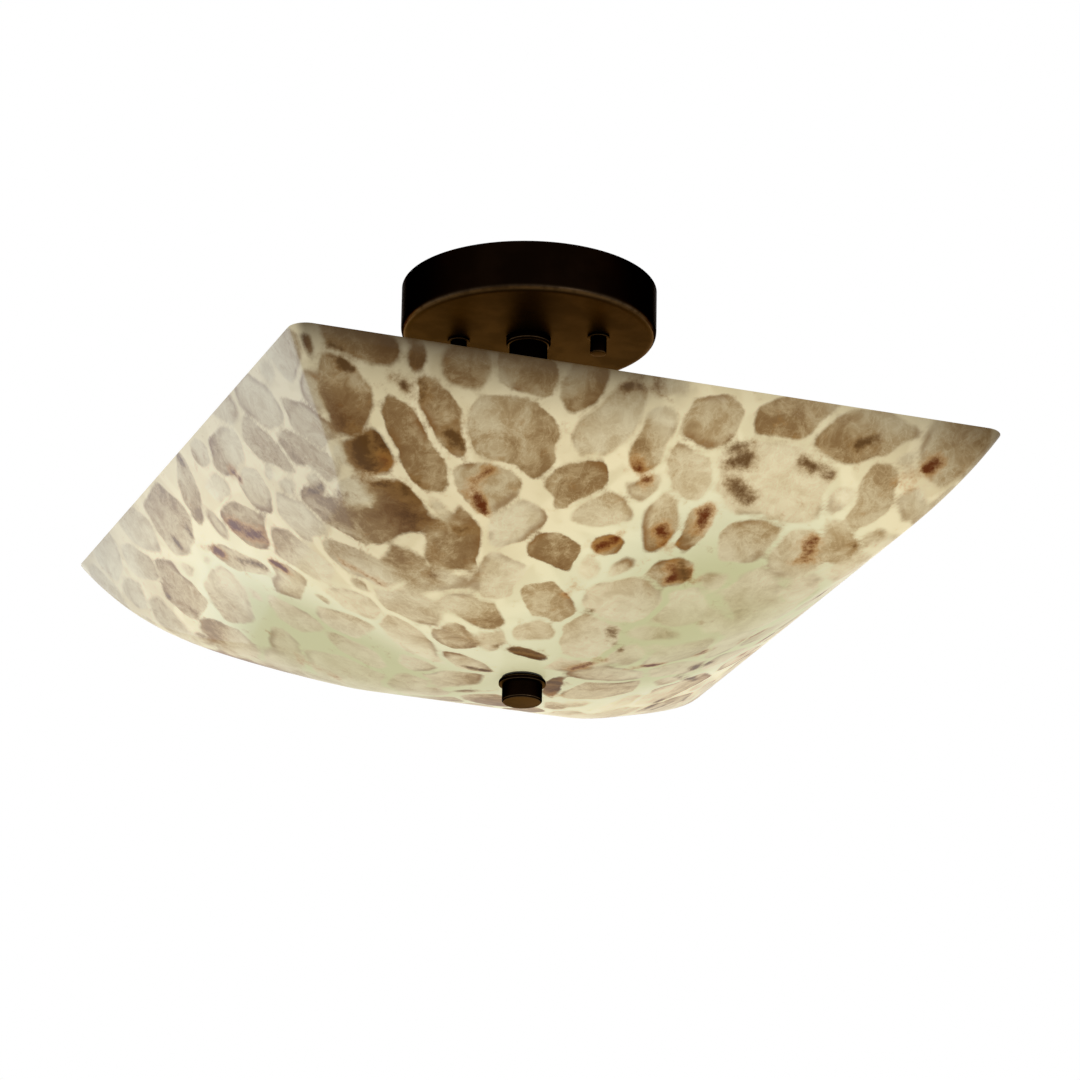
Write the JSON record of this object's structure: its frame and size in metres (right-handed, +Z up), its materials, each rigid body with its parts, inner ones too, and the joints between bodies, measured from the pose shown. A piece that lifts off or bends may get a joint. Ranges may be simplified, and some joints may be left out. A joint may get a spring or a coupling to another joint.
{
  "type": "semi flush ceiling light",
  "caption": "Semi flush ceiling light: a round dark metal canopy and short stem carry a square dished bowl of stone patterned glass, clamped by a round finial over two lamps.",
  "frame": {"origin": "centre of the canopy rim in the ceiling plane, on the stem axis, midway between the two box screw holes", "axes": "+Z up into the ceiling; the sides of the square bowl lie along X and Y"},
  "size_m": [0.3556, 0.3556, 0.2167],
  "materials": {
    "dark_bronze": "dark bronze, satin",
    "zinc_steel": "zinc plated",
    "green_screw": "green dyed",
    "stone_glass": "cream and grey-brown stone pattern, glossy",
    "rubber": "matte",
    "socket_moulding": "glazed",
    "brass": "bright",
    "solder": "dull",
    "black_glass": "glossy",
    "lamp_cap": "satin",
    "lamp_glass": "frosted white"
  },
  "bodies": {
    "fixture": {"crossbar": "zinc_steel", "ground_screw": "green_screw", "canopy_studs": "zinc_steel", "stud_jam_nuts": "zinc_steel", "canopy": "dark_bronze", "canopy_lock_washer": "zinc_steel", "canopy_locknut": "zinc_steel", "stem_pipe": "zinc_steel", "stem_collar": "dark_bronze", "stem_tube": "dark_bronze", "stem_foot": "dark_bronze", "lamp_frame": "zinc_steel", "frame_upper_nut": "zinc_steel", "frame_inner_nut": "zinc_steel", "frame_lower_nut": "zinc_steel", "drop_rod": "zinc_steel", "seat_nut": "zinc_steel", "seat_washer": "zinc_steel", "socket_body_a": "socket_moulding", "screw_shell_a": "brass", "centre_contact_a": "brass", "socket_screws_a": "zinc_steel", "socket_body_b": "socket_moulding", "screw_shell_b": "brass", "centre_contact_b": "brass", "socket_screws_b": "zinc_steel"},
    "bowl": {"shade": "stone_glass", "upper_gasket": "rubber", "lower_gasket": "rubber"},
    "finial_base": {"finial_flange": "dark_bronze"},
    "finial": {"finial_knob": "dark_bronze"},
    "cap_washer_a": {"cap_nut_washer_a": "dark_bronze"},
    "cap_nut_a": {"cap_nut_a": "dark_bronze"},
    "lamp_a": {"bulb_contact_a": "solder", "bulb_insulator_a": "black_glass", "bulb_cap_a": "lamp_cap", "bulb_glass_a": "lamp_glass"},
    "cap_washer_b": {"cap_nut_washer_b": "dark_bronze"},
    "cap_nut_b": {"cap_nut_b": "dark_bronze"},
    "lamp_b": {"bulb_contact_b": "solder", "bulb_insulator_b": "black_glass", "bulb_cap_b": "lamp_cap", "bulb_glass_b": "lamp_glass"}
  },
  "joints": [
    {"name": "shade_drop", "type": "slide", "parent": "fixture", "child": "bowl", "axis": [0, 0, -1], "range_m": [0, 0.1]},
    {"name": "finial_lower", "type": "slide", "parent": "bowl", "child": "finial_base", "axis": [0, 0, -1], "range_m": [0, 0.008]},
    {"name": "finial_turn", "type": "hinge", "parent": "finial_base", "child": "finial", "pos_m": [0, 0, -0.2122], "axis": [0, 0, -1], "range_deg": [0, 3062]},
    {"name": "cap_nut_a_lower", "type": "slide", "parent": "fixture", "child": "cap_washer_a", "axis": [0, 0, -1], "range_m": [0, 0.007]},
    {"name": "cap_nut_a_turn", "type": "hinge", "parent": "cap_washer_a", "child": "cap_nut_a", "pos_m": [0.03126, -0.01558, -0.0308], "axis": [0, 0, -1], "range_deg": [0, 3175]},
    {"name": "lamp_a_out", "type": "slide", "parent": "fixture", "child": "lamp_a", "axis": [0.809, -0.5878, 0], "range_m": [0, 0.03]},
    {"name": "cap_nut_b_lower", "type": "slide", "parent": "fixture", "child": "cap_washer_b", "axis": [0, 0, -1], "range_m": [0, 0.007]},
    {"name": "cap_nut_b_turn", "type": "hinge", "parent": "cap_washer_b", "child": "cap_nut_b", "pos_m": [-0.03126, 0.01558, -0.0308], "axis": [0, 0, -1], "range_deg": [0, 3175]},
    {"name": "lamp_b_out", "type": "slide", "parent": "fixture", "child": "lamp_b", "axis": [-0.809, 0.5878, 0], "range_m": [0, 0.03]}
  ],
  "couplings": [
    {"joint": "finial_turn", "follows": "finial_lower", "rad_per_m": 6679},
    {"joint": "cap_nut_a_turn", "follows": "cap_nut_a_lower", "rad_per_m": 7915.8},
    {"joint": "cap_nut_b_turn", "follows": "cap_nut_b_lower", "rad_per_m": 7915.8}
  ]
}
